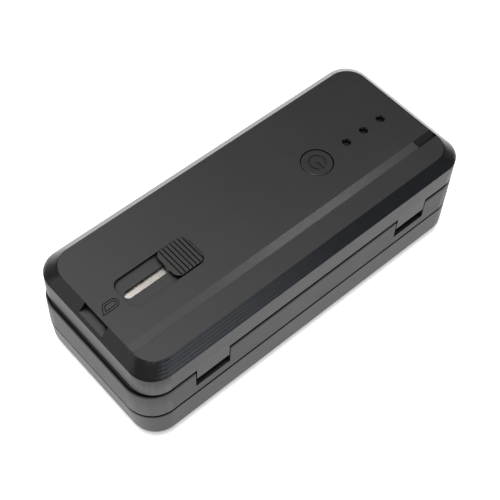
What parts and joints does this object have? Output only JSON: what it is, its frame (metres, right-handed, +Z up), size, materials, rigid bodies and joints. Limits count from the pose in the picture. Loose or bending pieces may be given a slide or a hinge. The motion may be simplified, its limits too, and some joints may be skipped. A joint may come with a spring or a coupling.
{
  "type": "jump starter pack",
  "caption": "Compact black jump starter pack with a hinged lid over an accessory tray, a power button, charge indicators, covered ports and a thumb-slid emergency blade.",
  "frame": {"origin": "on the ground under the middle of the case", "axes": "+X along the case towards the charging ports, +Y away from the lid's hinge side, +Z up through the power button"},
  "size_m": [0.1628, 0.067, 0.0487],
  "materials": {
    "case_plastic": "fine-textured black",
    "lid_plastic": "soft-touch black",
    "inner_plastic": "dark grey moulding",
    "rubber": "matte black",
    "blade_steel": "brushed",
    "screw_steel": "plated",
    "magnet": "nickel plated",
    "clear_plastic": "clear moulding",
    "black_moulding": "moulded",
    "blue_moulding": "moulded",
    "circuit_board": "solder mask",
    "gold_contact": "plated",
    "copper": "bare copper",
    "aluminium": "plain",
    "capacitor_can": "sleeved can",
    "cell_pouch": "laminated foil"
  },
  "bodies": {
    "case": {"bottom_case": "case_plastic", "middle_frame": "case_plastic", "case_screws": "screw_steel", "rubber_feet": "rubber", "frame_magnets": "magnet", "rim_seal": "rubber", "hinge_pins": "screw_steel", "port_cover_pin": "screw_steel", "output_socket": "blue_moulding", "output_contacts": "gold_contact", "output_straps": "copper", "usb_shell": "blade_steel", "usb_tongue": "black_moulding", "usb_contacts": "gold_contact", "charging_jack": "black_moulding", "jack_pin": "gold_contact", "control_board": "circuit_board", "control_board_screws": "screw_steel", "tact_switch": "black_moulding", "tact_shaft": "black_moulding", "status_leds": "clear_plastic", "led_spacers": "black_moulding", "main_board": "circuit_board", "main_board_screws": "screw_steel", "power_relay": "black_moulding", "inductor": "black_moulding", "capacitors": "capacitor_can", "transistors": "black_moulding", "heat_spreader": "aluminium", "board_connector": "black_moulding", "battery_cell_lower": "cell_pouch", "battery_cell_middle": "cell_pouch", "battery_cell_upper": "cell_pouch", "battery_foam_pads": "rubber", "cell_tabs": "aluminium", "positive_busbar": "copper", "negative_busbar": "copper"},
    "lid": {"lid_shell": "lid_plastic", "lid_inner_plate": "inner_plastic", "lid_screws": "screw_steel", "lid_magnets": "magnet", "light_pipes": "clear_plastic", "hinge_lug_left": "case_plastic", "hinge_lug_right": "case_plastic", "lug_screws": "screw_steel", "blade_guide": "inner_plastic", "guide_screws": "screw_steel", "button_spring": "blade_steel"},
    "blade": {"blade_slider": "lid_plastic", "blade_carrier": "inner_plastic", "cutter_blade": "blade_steel", "carrier_screw": "screw_steel"},
    "button": {"power_button": "lid_plastic"},
    "port_flap": {"port_cover": "rubber"}
  },
  "joints": [
    {"name": "lid_hinge", "type": "hinge", "parent": "case", "child": "lid", "pos_m": [0, -0.0309, 0.0296], "axis": [1, 0, 0], "range_deg": [0, 110]},
    {"name": "blade_slide", "type": "slide", "parent": "lid", "child": "blade", "axis": [-1, 0, 0], "range_m": [0, 0.0194]},
    {"name": "button_press", "type": "slide", "parent": "lid", "child": "button", "axis": [0, 0, -1], "range_m": [0, 0.0006], "stiffness_N_per_m": 600, "deforming": ["button_spring"]},
    {"name": "port_cover_hinge", "type": "hinge", "parent": "case", "child": "port_flap", "pos_m": [0.0807, 0, 0.0208], "axis": [0, 1, 0], "range_deg": [0, 100]}
  ]
}
